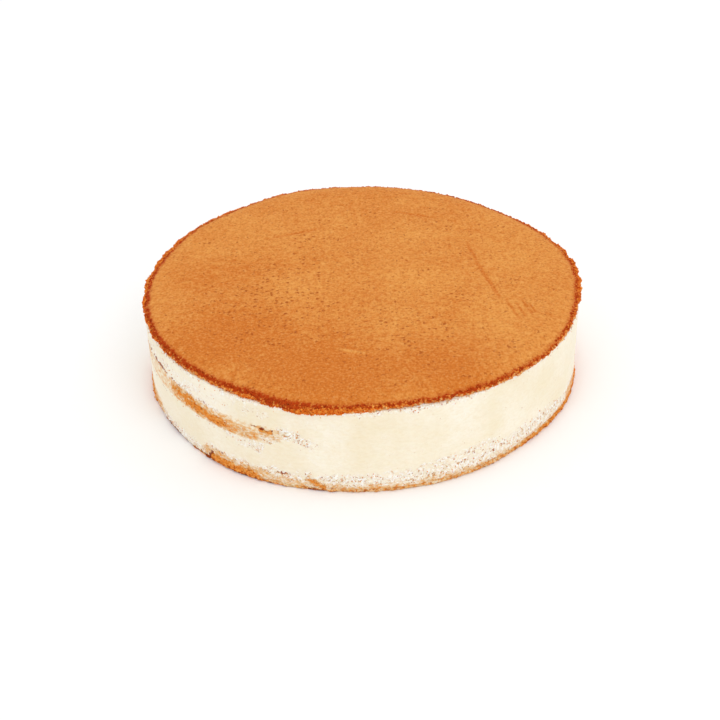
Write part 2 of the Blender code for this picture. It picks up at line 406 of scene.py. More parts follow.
    def ragged(self, ring: Ring) -> np.ndarray:
        """How far every edge of the coat wanders: in smears that run along the side, and with the crumb."""
        side = self.form.side(ring.angle, ring.height)
        return np.sum([wave.at(side) for wave in self.edge_waves], axis=0)

    def share(self, smears: tuple[Smear, ...], ring: Ring, ragged: np.ndarray, soft: float) -> np.ndarray:
        """The strongest of these smears at each point, where their edges wander and are that soft."""
        inside = [smear.inside(self.form.radius, ring) + ragged for smear in smears]
        return np.max([s.strength * smooth_step(0.5 + i / soft) for s, i in zip(smears, inside)], axis=0)

    def foot_line(self, angle: np.ndarray) -> np.ndarray:
        """Height at which the coat begins above the bare foot of the bottom sponge."""
        waves = np.sum([wave.at(self.form.side(angle)) for wave in self.foot_waves], axis=0)
        return self.foot_height + self.form.outline(angle, self.foot_bulges) + waves

    def depth(self, ring: Ring) -> np.ndarray:
        """How deep the cream lies over a sponge.

        Args:
            ring: The points.

        Returns:
            The depth at each point, below 0 where the crumb is bare.
        """
        ragged = self.ragged(ring)
        sheer = self.share(self.sheer_streaks, ring, ragged, self.sheer_softness)
        bare = self.share(self.bare_streaks, ring, ragged, self.bare_softness)
        depth = self.full + (self.sheer - self.full) * sheer
        depth = depth + (self.bare - depth) * bare
        covered = smooth_step((ring.height - self.foot_line(ring.angle)) / self.foot_fade)
        return self.bare + (depth - self.bare) * covered

    def show(self, ring: Ring) -> np.ndarray:
        """How far the sponge shows through the coat.

        Args:
            ring: The points.

        Returns:
            One value for each point, from 0 under the full coat to 1 where the crumb is bare.
        """
        ragged = self.show_raggedness * self.ragged(ring)
        sheer = self.share(self.sheer_streaks, ring, ragged, self.sheer_softness)
        bare = self.share(self.bare_streaks, ring, ragged, self.show_softness)
        above_foot = ring.height - self.foot_line(ring.angle) + self.show_above_foot
        foot = 1.0 - smooth_step(above_foot / self.show_foot_fade)
        foot = foot * (1.0 - self.form.outline(ring.angle, self.foot_film))
        return np.maximum(np.maximum(self.sheer_show * sheer, bare), foot)

    def specks(self, ring: Ring) -> np.ndarray:
        """How thickly crumbs are dragged through the cream.

        Args:
            ring: The points.

        Returns:
            One value for each point, from 0 to 1.
        """
        ragged = self.ragged(ring)
        dragged = self.share(self.dragged_crumbs, ring, ragged, self.speck_softness)
        clumps = smooth_step(0.5 + self.speck_clumps.at(self.form.side(ring.angle)))
        above = ring.height - (self.form.join_4 - self.rim_specks_from) + self.show_raggedness * ragged
        fewest, most = self.rim_specks
        near_rim = smooth_step(above / self.rim_specks_fade)
        return np.maximum(dragged, (fewest + (most - fewest) * clumps) * near_rim)

    def paints(self, ring: Ring) -> dict[str, np.ndarray]:
        """The paints that the finish of the side reads.

        Args:
            ring: The points.

        Returns:
            For each paint's name, its value at each point.
        """
        # The dark lines are painted shadow in the gaps and along the foot
        ragged = self.crack_raggedness * self.ragged(ring)
        crack = self.share(self.cracks, ring, ragged, self.crack_softness)
        return {"show": self.show(ring), "specks": self.specks(ring), "crack": crack}


class Draft:
    """A mesh in the making: points in millimetres, faces, and values painted on the points."""

    def __init__(self, *paints: str) -> None:
        """Starts an empty draft.

        Args:
            paints: The names of the values that each point carries.
        """
        self.points: list[np.ndarray] = []
        self.faces: list[list[int]] = []
        self.paints: dict[str, list[np.ndarray]] = {name: [] for name in paints}
        self.count = 0

    def add(self, points: np.ndarray, **paint: np.ndarray | float) -> np.ndarray:
        """Adds points, with 0 for each paint that isn't given.

        Args:
            points: The points, one a row.
            paint: For a paint's name, one value or one for each point.

        Returns:
            The numbers of the new points.
        """
        self.points.append(points)
        for name, stored in self.paints.items():
            stored.append(np.broadcast_to(paint.get(name, 0.0), len(points)))
        self.count += len(points)
        return np.arange(self.count - len(points), self.count)

    def join(self, rings: Sequence[np.ndarray]) -> None:
        """Joins rings. The faces look outwards where the row runs from the top's middle to the foot's.

        Args:
            rings: The numbers of each ring's points, for one ring after another.
        """
        for before, after in zip(rings, rings[1:]):
            corners = [before, after, np.roll(after, -1), np.roll(before, -1)]
            self.faces.extend(np.stack(corners, axis=1).tolist())

    def close(self, ring: np.ndarray, height: float, upwards: bool) -> None:
        """Closes a ring with triangles to a point on the axis.

        Args:
            ring: The ring's points.
            height: The height of the point on the axis.
            upwards: Whether the triangles face up.
        """
        hub = np.repeat(self.add(np.array([[0.0, 0.0, height]])), len(ring))
        ahead = np.roll(ring, -1)
        corners = [hub, ring, ahead] if upwards else [ring, hub, ahead]
        self.faces.extend(np.stack(corners, axis=1).tolist())

    def make(self, name: str) -> bpy.types.Object:
        """Makes the object in metres, shaded smooth.

        Args:
            name: The piece's name.

        Returns:
            The object, at the origin.
        """
        mesh = bpy.data.meshes.new(name)
        mesh.from_pydata((np.concatenate(self.points) * MM).tolist(), [], self.faces)
        for paint, stored in self.paints.items():
            values = np.concatenate(stored).astype(np.float32)
            mesh.attributes.new(paint, "FLOAT", "POINT").data.foreach_set("value", values)
        mesh.shade_smooth()
        piece = bpy.data.objects.new(name, mesh)
        bpy.context.scene.collection.objects.link(piece)
        return piece


def smooth_path(points: list[tuple[float, float]], steps: int) -> np.ndarray:
    """Evenly many points on the smooth curve through a few.

    Args:
        points: The radius and height of each point to pass through.
        steps: How many stretches to cut the curve into.

    Returns:
        The radius and height of steps + 1 points.
    """
    known = np.array([points[0], *points, points[-1]], float)
    made = []
    for t in np.linspace(0.0, len(points) - 1.0, steps + 1):
        i = min(int(t), len(points) - 2)
        a, b, c, d = known[i : i + 4]
        s = t - i
        bend = (2 * a - 5 * b + 4 * c - d) * s**2 + (3 * b - a - 3 * c + d) * s**3
        made.append(0.5 * (2 * b + (c - a) * s + bend))
    return np.array(made)


@dataclass(frozen=True)
class SpongeRelief:
    """Sizes of the relief of sponge, in millimetres."""

    lump_size: float = 2.2
    lump_height: float = 0.5
    pore_size: float = 1.8
    pore_depth: float = 0.5
    skin_height: float = 0.12


@dataclass(frozen=True)
class KnifeRelief:
    """Sizes of the relief of scraped cream, in millimetres."""

    streak_height: float = 0.5
    crumb_height: float = 1.1
    crumb_size: float = 1.8


@dataclass(frozen=True)
class CrumbWidths:
    """The half widths of the smallest and the largest loose crumb, in millimetres."""

    smallest: float = 0.2
    largest: float = 0.6


def label_of(name: str) -> str:
    """The name of a tree's input for a size's name."""
    return name.replace("_", " ").title()


class GeometryTree:
    """A geometry tree for a piece's mesh, with its sizes and its material as named inputs."""

    def __init__(self, name: str, sizes: type, **others: str) -> None:
        """Starts the tree.

        Args:
            name: What the tree does.
            sizes: The dataclass of the sizes, each of which becomes an input.
            others: For the names of further inputs, the kinds of their sockets.
        """
        self.tree = bpy.data.node_groups.new(name, "GeometryNodeTree")
        self.add = partial(add_node, self.tree)
        add_port = self.tree.interface.new_socket
        add_port(name="Geometry", in_out="OUTPUT", socket_type="NodeSocketGeometry")
        kinds = {label_of(field.name): FLOAT_SOCKET for field in fields(sizes)}
        kinds = {"Geometry": "NodeSocketGeometry", **kinds, **others, "Material": "NodeSocketMaterial"}
        for label, kind in kinds.items():
            add_port(name=label, in_out="INPUT", socket_type=kind)
        self.inputs = self.add("NodeGroupInput").outputs
        self.place = self.add("GeometryNodeInputPosition")

    def push(self, geometry: Any, height: Any) -> Any:
        """Moves each point of a mesh along its normal, and returns the node that gives the mesh."""
        offset = self.add(VECTOR_MATH, (self.add("GeometryNodeInputNormal"), height), operation="SCALE")
        return self.add("GeometryNodeSetPosition", {"Geometry": geometry, "Offset": offset})

    def end(self, geometry: Any) -> None:
        """Ends the tree: everything is made real and given the material.

        Args:
            geometry: The node that gives the result.
        """
        real = self.add("GeometryNodeRealizeInstances", (geometry,))
        values = {"Geometry": real, "Material": self.inputs["Material"]}
        self.add("NodeGroupOutput", (self.add("GeometryNodeSetMaterial", values),))

    def run(
        self, piece: bpy.types.Object, material: bpy.types.Material, sizes: Any, **others: float
    ) -> None:
        """Runs a piece's mesh through the tree, and keeps the result as the piece's plain mesh.

        Args:
            piece: The piece.
            material: The material that it gets.
            sizes: The sizes, in millimetres.
            others: Values for the further inputs.
        """
        values = {label_of(name): size * MM for name, size in asdict(sizes).items()}
        values = {**values, **others, "Material": material}
        modifier = piece.modifiers.new(self.tree.name, "NODES")
        modifier.node_group = self.tree
        for item in self.tree.interface.items_tree:
            if item.name in values:
                modifier[item.identifier] = values[item.name]
        depsgraph = bpy.context.evaluated_depsgraph_get()
        made = bpy.data.meshes.new_from_object(
            piece.evaluated_get(depsgraph), preserve_all_data_layers=True, depsgraph=depsgraph
        )
        piece.modifiers.clear()
        piece.data = made
        made.name = piece.name


class CrumbRelief(GeometryTree):
    """The relief of sponge: lumps and open pores where it is torn, and dimples in the baked skin."""

    def __init__(self) -> None:
        """Builds the tree, which reads how torn the sponge is from the paint called torn."""
        super().__init__("Crumb relief", SpongeRelief, Seed=FLOAT_SOCKET)
        add, inputs = self.add, self.inputs
        shift = add("ShaderNodeCombineXYZ", (inputs["Seed"],))
        moved = add(VECTOR_MATH, (self.place, shift), operation="ADD")
        lump = add(MATH, (self.signed_noise(moved, 4.0), inputs["Lump Height"]), operation="MULTIPLY")
        spacing = add(MATH, (1.0, inputs["Pore Size"]), operation="DIVIDE")
        pore = add(VORONOI, (moved, spacing))
        opened = add(MAP_RANGE, (pore, 0.16, 0.6, 1.0, 0.0), interpolation_type="SMOOTHSTEP")
        pit = add(MATH, (opened, inputs["Pore Depth"]), operation="MULTIPLY")
        crags = add(MATH, (lump, pit), operation="SUBTRACT")
        dimples = add(MATH, (self.signed_noise(moved, 2.0), inputs["Skin Height"]), operation="MULTIPLY")
        torn = add(NAMED_ATTRIBUTE, ("torn",), data_type="FLOAT")
        height = add(MIX, (torn, dimples, crags), data_type="FLOAT")

        raised = self.push(inputs["Geometry"], height)
        # hollow is kept so that the crumb's finish paints shade in the pits
        deepest = add(MATH, (inputs["Lump Height"], inputs["Pore Depth"]), operation="ADD")
        share = add(MATH, (height, deepest), operation="DIVIDE")
        hollow = add(MATH, (share, -1.0), operation="MULTIPLY")
        store = {"Geometry": raised, "Name": "hollow", "Value": hollow}
        self.end(add("GeometryNodeStoreNamedAttribute", store, data_type="FLOAT", domain="POINT"))

    def signed_noise(self, place: Any, detail: float) -> Any:
        """Noise the size of a lump.

        Args:
            place: The node that gives where to read it.
            detail: How many finer sizes are in it.

        Returns:
            The node that gives it, between about -1 and 1.
        """
        scale = self.add(MATH, (1.0, self.inputs["Lump Size"]), operation="DIVIDE")
        read = self.add(NOISE, (place, scale, detail))
        return self.add(MAP_RANGE, (read, 0.3, 0.7, -1.0, 1.0))


class KnifeMarks(GeometryTree):
    """The relief of scraped cream: long low streaks along the side, and crumbs that lift or pit it."""

    def __init__(self) -> None:
        """Builds the tree, which reads the paints called specks, show and wall."""
        super().__init__("Knife marks", KnifeRelief)
        add, inputs = self.add, self.inputs
        # A streak is about 40 mm long and 2 mm high
        drawn = add(VECTOR_MATH, (self.place, (25.0, 25.0, 480.0)), operation="MULTIPLY")
        streak = add(NOISE, (drawn, 1.0, 3.0, 0.55))
        streak = add(MATH, (streak, 0.5), operation="SUBTRACT")
        scale = add(MATH, (1.0, inputs["Crumb Size"]), operation="DIVIDE")
        grain = add(NOISE, (self.place, scale, 2.0))
        grain = add(MATH, (grain, 0.5), operation="SUBTRACT")
        lumpy = add(MATH, (grain, inputs["Crumb Height"]), operation="MULTIPLY")
        paints = ("specks", "show", "wall")
        specks, show, wall = (add(NAMED_ATTRIBUTE, (paint,), data_type="FLOAT") for paint in paints)
        rough = add(MATH, (specks, show), operation="MAXIMUM")
        lumpy = add(MATH, (lumpy, rough), operation="MULTIPLY")
        height = add(MATH, (streak, inputs["Streak Height"], lumpy), operation="MULTIPLY_ADD")
        height = add(MATH, (height, wall), operation="MULTIPLY")
        self.end(self.push(inputs["Geometry"], height))


class CrumbScatter(GeometryTree):
    """Loose crumbs strewn where a surface has the paint called shed."""

    def __init__(self) -> None:
        """Builds the tree: a crumb is a ball of 20 faces, turned, sized and roughened."""
        super().__init__("Crumb scatter", CrumbWidths, Density=FLOAT_SOCKET, Seed="NodeSocketInt")
        add, inputs = self.add, self.inputs
        shed = add(NAMED_ATTRIBUTE, ("shed",), data_type="FLOAT")
        density = add(MATH, (inputs["Density"], shed), operation="MULTIPLY")
        ground = {"Mesh": inputs["Geometry"], "Density": density, "Seed": inputs["Seed"]}
        strewn = add("GeometryNodeDistributePointsOnFaces", ground, distribute_method="RANDOM")
        ball = add("GeometryNodeMeshIcoSphere", (1.0, 1))
        kind = "FunctionNodeRandomValue"
        angles = {"Min": (0.0, 0.0, 0.0), "Max": (2 * math.pi,) * 3, "Seed": 1}
        turn = add(kind, angles, data_type="FLOAT_VECTOR")
        small, large = (add("ShaderNodeCombineXYZ", (inputs[end],) * 3) for end in ("Smallest", "Largest"))
        size = add(kind, {"Min": small, "Max": large, "Seed": 2}, data_type="FLOAT_VECTOR")
        values = {"Points": strewn, "Instance": ball, "Rotation": turn, "Scale": size}
        real = add("GeometryNodeRealizeInstances", (add("GeometryNodeInstanceOnPoints", values),))
        # Rough at about half a millimetre
        rough = add(NOISE, (self.place, 2200.0, 1.0)).outputs["Color"]
        centred = add(VECTOR_MATH, (rough, (0.5, 0.5, 0.5)), operation="SUBTRACT")
        push = add(VECTOR_MATH, (centred, inputs["Largest"]), operation="SCALE")
        self.end(add("GeometryNodeSetPosition", {"Geometry": real, "Offset": push}))


class MaterialTree:
    """A material in the making: its nodes, its shader, and where a point lies on the object."""

    def __init__(self, name: str, values: Mapping[str, Any]) -> None:
        """Starts the material.

        Args:
            name: The material's name.
            values: For the shader's inputs of those names, their values.
        """
        self.material = bpy.data.materials.new(name)
        self.material.use_nodes = True
        self.tree = self.material.node_tree
        self.add = partial(add_node, self.tree)
        self.shader = self.tree.nodes["Principled BSDF"]
        for label, value in values.items():
            self.shader.inputs[label].default_value = value
        self.place = self.add("ShaderNodeTexCoord").outputs["Object"]

    def lay(self, colour: Any, *coats: tuple[Any, float, float, float, Any]) -> Any:
        """Lays colours over one another.

        Args:
            colour: The lowest colour.
            coats: For each next colour, the node that says where it lies, that node's values where the colour
                begins and where it is full, how much it covers at most, and the colour.

        Returns:
            The node that gives the colour.
        """
        for where, begins, full, most, laid in coats:
            share = self.add(MAP_RANGE, (where, begins, full, 0.0, most))
            colour = self.add(MIX, (share, colour, laid), data_type="RGBA")
        return colour

    def both(self, ramp: tuple[Any, ...], guard: tuple[Any, ...]) -> Any:
        """The product of a ramp and of one that guards it, each given as the inputs of its node."""
        ramps = [self.add(MAP_RANGE, values) for values in (ramp, guard)]
        return self.add(MATH, ramps, operation="MULTIPLY")

    def end(self, colour: Any, bumps: Mapping[str, Any], sunk: bool) -> bpy.types.Material:
        """Ends the material.

        Args:
            colour: The node that gives its colour.
            bumps: The height, the distance and the strength of its bumps.
            sunk: Whether the height runs inwards.

        Returns:
            The material.
        """
        bump = self.add("ShaderNodeBump", bumps, invert=sunk)
        self.tree.links.new(colour.outputs["Result"], self.shader.inputs["Base Color"])
        self.tree.links.new(bump.outputs[0], self.shader.inputs["Normal"])
        return self.material


class CrumbTone(Enum):
    """The colours of torn sponge: the painted shade at the bottoms of its pores, its body, its pale tips and
    its baked edge.
    """

    RIM = ("#932c04", "#e06c16", "#f5a548", "#b23804")
    SIDE = ("#a65518", "#e3852e", "#f2b05c", "#b4561a")


@dataclass(frozen=True)
class TornCrumb:
    """Torn sponge cake: matte and golden, with pores darkened by painted shade between pale tips, which look
    soft and open.
    """

    tone: CrumbTone
    cream: str = "#f3cd8e"
    grain_mm: float = 1.1
    patch_mm: float = 1.7

    def colour(self, made: MaterialTree) -> Any:
        """The crumb's colour, by the paints called baked, creamed and hollow.

        Args:
            made: The material in the making.

        Returns:
            The node that gives the colour.
        """
        add = made.add
        deep, body, tip, baked = self.tone.value
        paints = ("baked", "creamed", "hollow")
        edge, film, hollow = (add(ATTRIBUTE, attribute_name=paint).outputs["Fac"] for paint in paints)
        patches = add(NOISE, (made.place, times_a_metre(self.patch_mm), 4.0, 0.65))
        spread = add(MATH, (0.5, patches), operation="SUBTRACT")
        burnt = add(MATH, (spread, 3.0, edge), operation="MULTIPLY_ADD")
        smeared = add(MATH, (spread, -3.0, film), operation="MULTIPLY_ADD")
        # The deep colour is painted shade, in the pores and in the relief's hollows
        sunk = add(MATH, (self.grain(made), hollow), operation="ADD")
        return made.lay(
            body,
            (patches, 0.46, 0.68, 1.0, tip),
            (burnt, 0.4, 0.85, 0.92, baked),
            (smeared, 0.5, 0.9, 0.75, self.cream),
            (sunk, 0.5, 1.2, 0.85, deep),
        )

    def grain(self, made: MaterialTree) -> Any:
        """The fine pores of a material in the making, as the node that gives 1 at the bottom of a pore."""
        pores = made.add(VORONOI, (made.place, times_a_metre(self.grain_mm)))
        return made.add(MAP_RANGE, (pores, 0.1, 0.65, 1.0, 0.0))

    def build(self, name: str, cream: ScrapedCream | None) -> bpy.types.Material:
        """Makes the material of a piece that is torn crumb all over.

        Args:
            name: The material's name.
            cream: The cream that is scraped over it, if there is any.

        Returns:
            The material.
        """
        values = {"Roughness": 0.88, "Specular IOR Level": 0.12, "Subsurface Weight": 0.1}
        values.update({"Subsurface Radius": (1.0, 0.5, 0.2), "Subsurface Scale": 1.5 * MM})
        made = MaterialTree(name, values)
        colour = self.colour(made)
        if cream is not None:
            colour = cream.over(made, colour)[0]
        bumps = {"Height": self.grain(made), "Distance": 0.3 * MM, "Strength": 0.6}
        return made.end(colour, bumps, sunk=True)


@dataclass(frozen=True)
class BakedSkin:
    """The oven-baked top of a sponge: smooth, matte and fine-pored, which gives it a soft suede look."""

    torn: TornCrumb = TornCrumb(CrumbTone.RIM)
    light: str = "#e79d4c"
    deep: str = "#d37729"
    fleck: str = "#eeb06a"
    edge: str = "#b6420a"
    pore: str = "#ad5517"
    patch_mm: float = 46.0
    mottle_mm: float = 3.4
    stipple_mm: float = 1.5
    fray_mm: float = 1.1
    wander_size_mm: float = 1.6
    wander_mm: float = 3.0

    def build(self, name: str) -> bpy.types.Material:
        """Makes the material, which blends into torn crumb by the paint called torn.

        Args:
            name: The material's name.

        Returns:
            The material.
        """
        made = MaterialTree(name, {"Roughness": 0.75, "Specular IOR Level": 0.1})
        add, place = made.add, made.place
        paints = ("deep", "porous", "edge", "torn")
        deep, porous, edge, torn = (add(ATTRIBUTE, attribute_name=paint).outputs["Fac"] for paint in paints)

        broad = add(NOISE, (place, times_a_metre(self.patch_mm), 2.0))
        mottle = add(NOISE, (place, times_a_metre(self.mottle_mm), 4.0, 0.7))
        uneven = add(MATH, (broad, 0.5, mottle), operation="MULTIPLY_ADD")
        # Subtracting deep darkens the skin with painted shade, in the creases and towards the front of the
        # top
        uneven = add(MATH, (uneven, deep), operation="SUBTRACT")
        stipple = add(NOISE, (place, times_a_metre(self.stipple_mm), 3.0, 0.7))
        skin = made.lay(
            self.deep,
            (uneven, 0.43, 0.9, 1.0, self.light),
            (stipple, 0.5, 0.7, 0.4, self.fleck),
            (stipple, 0.5, 0.3, 0.5, self.pore),
        )

        wander = add(NOISE, (place, times_a_metre(self.wander_size_mm), 1.0)).outputs["Color"]
        shift = add(VECTOR_MATH, (wander, self.wander_mm * MM), operation="SCALE")
        warped = add(VECTOR_MATH, (place, shift), operation="ADD")
        large = self.pores(made, warped, 3.0, 0.38, porous)
        small = add(MATH, (self.pores(made, warped, 2.1, 0.26, 0.7), 0.4), operation="MULTIPLY")
        pores = add(MATH, (large, small), operation="MAXIMUM")
        skin = add(MIX, (pores, skin, self.pore), data_type="RGBA")

        # The browned edge and the torn crumb beyond it start in crumb-sized steps
        fray = add(NOISE, (place, times_a_metre(self.fray_mm), 2.0, 0.6))
        fray = add(MATH, (fray, 0.5), operation="SUBTRACT")
        rough_edge = add(MATH, (fray, 1.6, edge), operation="MULTIPLY_ADD")
        share = made.both((rough_edge, 0.3, 1.1, 0.0, 0.9), (edge, 0.0, 1.0, 0.0, 1.0))
        skin = add(MIX, (share, skin, self.edge), data_type="RGBA")
        frayed = add(MATH, (fray, 2.2, torn), operation="MULTIPLY_ADD")
        frayed = made.both((frayed, 0.4, 0.6, 0.0, 1.0), (torn, 0.0, 0.1, 0.0, 1.0))
        colour = add(MIX, (frayed, skin, self.torn.colour(made)), data_type="RGBA")

        pitted = add(MATH, (pores, 0.7), operation="MULTIPLY")
        pitted = add(MATH, (pitted, stipple), operation="SUBTRACT")
        sunk = add(MIX, (torn, pitted, self.torn.grain(made)), data_type="FLOAT")
        return made.end(colour, {"Height": sunk, "Distance": 0.35 * MM, "Strength": 0.8}, sunk=True)

    def pores(self, made: MaterialTree, place: Any, cell_mm: float, widest: float, share: Any) -> Any:
        """Scattered pores, one in some of the cells of a pattern, each with a size of its own.

        Args:
            made: The material in the making.
            place: The node that gives a point's place.
            cell_mm: The spacing of the cells.
            widest: The half width of the widest pore, as a share of a cell.
            share: The share of the cells that have a pore.

        Returns:
            The node that gives 1 in the middle of a pore and 0 between them.
        """
        add = made.add
        cells = add(VORONOI, (place, times_a_metre(cell_mm)), voronoi_dimensions="2D")
        lot = add("ShaderNodeSeparateColor", (cells.outputs["Color"],))
        spare = add(MATH, (share, lot), operation="SUBTRACT")
        radius = add(MAP_RANGE, (spare, 0.0, 0.6, 0.06, widest))
        inside = add(MATH, (radius, cells), operation="SUBTRACT")
        return made.both((inside, -0.12, 0.12, 0.0, 0.88), (spare, 0.0, 0.08, 0.0, 1.0))


@dataclass(frozen=True)
class ScrapedCream:
    """Whipped vanilla cream, scraped flat: ivory, satin and a little translucent, with crumb under it."""

    crumb: TornCrumb
    ivory: str = "#f8f0de"
    warm: str = "#f2e6cb"
    # The ridge colour is a painted highlight on the crumbs raised under the cream
    ridge: str = "#fbf7f0"
    film: str = "#e3cda0"
    thin: str = "#e4b577"
    pale_speck: str = "#d8b78e"
    speck: str = "#c87c44"
    # This dark colour is used both for rare dark crumbs and for the painted shadow lines
    dark_speck_and_shade: str = "#94441a"
    patch_mm: float = 30.0
    drag_mm: float = 2.9
    speck_mm: float = 1.6
    film_mm: float = 2.6

    def build(self, name: str) -> bpy.types.Material:
        """Makes the material of the cream.

        Args:
            name: The material's name.

        Returns:
            The material.
        """
        values = {"Roughness": 0.5, "Specular IOR Level": 0.3, "Subsurface Weight": 0.15}
        values.update({"Subsurface Radius": (1.0, 0.8, 0.5), "Subsurface Scale": 1.5 * MM})
        made = MaterialTree(name, values)
        colour, raised = self.over(made, self.crumb.colour(made))
        # Knife streaks about 20 mm long and 0.7 mm high
        drawn = made.add(VECTOR_MATH, (made.place, (50.0, 50.0, 1400.0)), operation="MULTIPLY")
        streaks = made.add(NOISE, (drawn, 1.0, 2.0))
        height = made.add(MATH, (streaks, 0.35, raised), operation="MULTIPLY_ADD")
        return made.end(colour, {"Height": height, "Distance": 0.3 * MM, "Strength": 0.6}, sunk=False)

    def over(self, made: MaterialTree, crumb: Any) -> tuple[Any, Any]:
        """Lays the cream over crumb, by the paints called show, specks and crack.

        Args:
            made: The material in the making.
            crumb: The node that gives the crumb's colour.

        Returns:
            The nodes that give the colour and the height of what is raised.
        """
        add, place = made.add, made.place
        paints = ("specks", "show", "crack")
        specks, show, crack = (add(ATTRIBUTE, attribute_name=paint).outputs["Fac"] for paint in paints)
        patches = add(NOISE, (place, times_a_metre(self.patch_mm), 3.0))
        # Film and smears are dragged along the side, so they are longer than they are high
        drawn = add(VECTOR_MATH, (place, (1.0, 1.0, 1.7)), operation="MULTIPLY")
        film = add(NOISE, (drawn, times_a_metre(self.film_mm), 5.0, 0.75))
        cream = made.lay(
            self.warm,
            (patches, 0.35, 0.65, 1.0, self.ivory),
            (film, 0.42, 0.7, 0.3, self.film),
        )
        grain = add(NOISE, (place, times_a_metre(self.speck_mm), 2.0, 0.6))
        clumps = add(NOISE, (place, times_a_metre(3 * self.speck_mm), 2.0))
        clumps = add(MATH, (clumps, 0.5), operation="SUBTRACT")
        gathered = add(MATH, (clumps, 1.6, specks), operation="MULTIPLY_ADD")
        dense = (gathered, 0.2, 0.8, 0.0, 1.0)
        raised = made.both((grain, 0.4, 0.6, 1.0, 0.1), dense)
        # Thin wandering lines, where the noise passes its middle, are the furrows between coated crumbs,
        # painted tan as shade; the raised crumbs are painted whiter as a highlight
        away = add(MATH, (grain, 0.52), operation="SUBTRACT")
        away = add(MATH, (away,), operation="ABSOLUTE")
        furrow_shade = made.both((away, 0.0, 0.05, 0.6, 0.0), dense)
        dots, dot = self.dots(made, gathered)
        # Painted highlight on the raised crumbs, painted shade in the furrows, then the dots
        for share, colour in ((raised, self.ridge), (furrow_shade, self.pale_speck), (dots, dot)):
            cream = add(MIX, (share, cream, colour), data_type="RGBA")

        drag = add(NOISE, (drawn, times_a_metre(self.drag_mm), 5.0, 0.7))
        drag = add(MATH, (drag, 0.5), operation="SUBTRACT")
        seen = add(MATH, (drag, 1.8, show), operation="MULTIPLY_ADD")
        for begins, full, colour in ((0.1, 0.52, self.thin), (0.46, 0.72, crumb)):
            share = made.both((seen, begins, full, 0.0, 1.0), (show, 0.0, 0.12, 0.0, 1.0))
            cream = add(MIX, (share, cream, colour), data_type="RGBA")

        # The shadow lines are painted shadow along the gaps and the foot, drawn as rows of short dark dashes
        uneven = add(MATH, (grain, 0.5), operation="SUBTRACT")
        gaps = add(MATH, (clumps, 1.4, crack), operation="MULTIPLY_ADD")
        gaps = add(MATH, (uneven, 2.6, gaps), operation="MULTIPLY_ADD")
        dark = made.both((gaps, 0.5, 0.65, 0.0, 1.0), (crack, 0.1, 0.2, 0.0, 1.0))
        colour = add(MIX, (dark, cream, self.dark_speck_and_shade), data_type="RGBA")
        return colour, add(MATH, (raised, dots), operation="SUBTRACT")

    def dots(self, made: MaterialTree, gathered: Any) -> tuple[Any, Any]:
        """The crumbs that show through in dots, more and larger where more crumb was dragged.

        Args:
            made: The material in the making.
            gathered: The node that gives how much crumb was dragged.

        Returns:
            The nodes that give 1 in a dot and 0 between them, and a dot's colour.
        """
        add = made.add
        grain = add(NOISE, (made.place, times_a_metre(0.85 * self.speck_mm), 1.0)).outputs["Color"]
        parts = add("ShaderNodeSeparateColor", (grain,)).outputs
        level = add(MAP_RANGE, (gathered, 0.0, 1.0, 0.76, 0.57))
        above = add(MATH, (parts[0], level), operation="SUBTRACT")
        dots = made.both((above, 0.0, 0.08, 0.0, 1.0), (gathered, 0.02, 0.15, 0.0, 1.0))
        common = (parts[1], 0.47, 0.57, 1.0, self.speck)
        rare = (parts[1], 0.61, 0.68, 1.0, self.dark_speck_and_shade)
        return dots, made.lay(self.pale_speck, common, rare)


@dataclass
class Layer:
    """A layer of the cake: its form and coat, and how it stands in the frame."""

    form: CakeForm
    coat: Coat
    name: str
    slot: str
    nodes: tuple[str, ...]

    def dress(self, piece: bpy.types.Object) -> None:
        """Gives a finished piece its place in the frame, and reports it.

        Args:
            piece: The piece.
        """
        piece.data.calc_loop_triangles()
        LOG.info("%s: %d triangles", piece.name, len(piece.data.loop_triangles))
        if self.nodes:
            departure = self.departure(piece)
            LOG.info("%s: its box departs from the packed one by %.2f mm", piece.name, departure)
            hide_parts(*self.nodes)
        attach(piece, "root")

    def departure(self, piece: bpy.types.Object) -> float:
        """How far the piece's box departs from that of the nodes it replaces.

        Args:
            piece: The piece.

        Returns:
            The widest gap between two of their faces, in millimetres.
        """
        corners = np.array([[list(corner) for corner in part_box(node)] for node in self.nodes])
        packed = np.array([corners[:, 0].min(axis=0), corners[:, 1].max(axis=0)])
        places = np.empty(3 * len(piece.data.vertices))
        piece.data.vertices.foreach_get("co", places)
        places = places.reshape(-1, 3)
        made = np.array([places.min(axis=0), places.max(axis=0)])
        return float(np.abs(made - packed).max() / MM)


@dataclass(frozen=True)
class Crease:
    """A crease pressed in the skin: its two ends, its half width and its depth, below 0 for a ridge."""

    start: tuple[float, float]
    end: tuple[float, float]
    half: float
    depth: float

    def sink(self, points: np.ndarray) -> np.ndarray:
        """How far it lowers the skin.

        Args:
            points: The points, one a row.

        Returns:
            The millimetres at each point.
        """
        start = np.array(self.start)
        run = np.array(self.end) - start
        along = np.clip((points[:, :2] - start) @ run / (run @ run), 0.0, 1.0)
        away = np.linalg.norm(points[:, :2] - start - along[:, None] * run, axis=1)
        taper = 4.0 * along * (1.0 - along)
        return self.depth * taper * np.exp(-((away / self.half) ** 2))


@dataclass(frozen=True)
class Blot:
    """A soft round place on the top: its middle, its half width and its strength."""

    middle: tuple[float, float]
    half: float
    strength: float

    def share(self, points: np.ndarray) -> np.ndarray:
        """Its strength at each point."""
        away = np.linalg.norm(points[:, :2] - np.array(self.middle), axis=1)
        return self.strength * np.exp(-((away / self.half) ** 2))


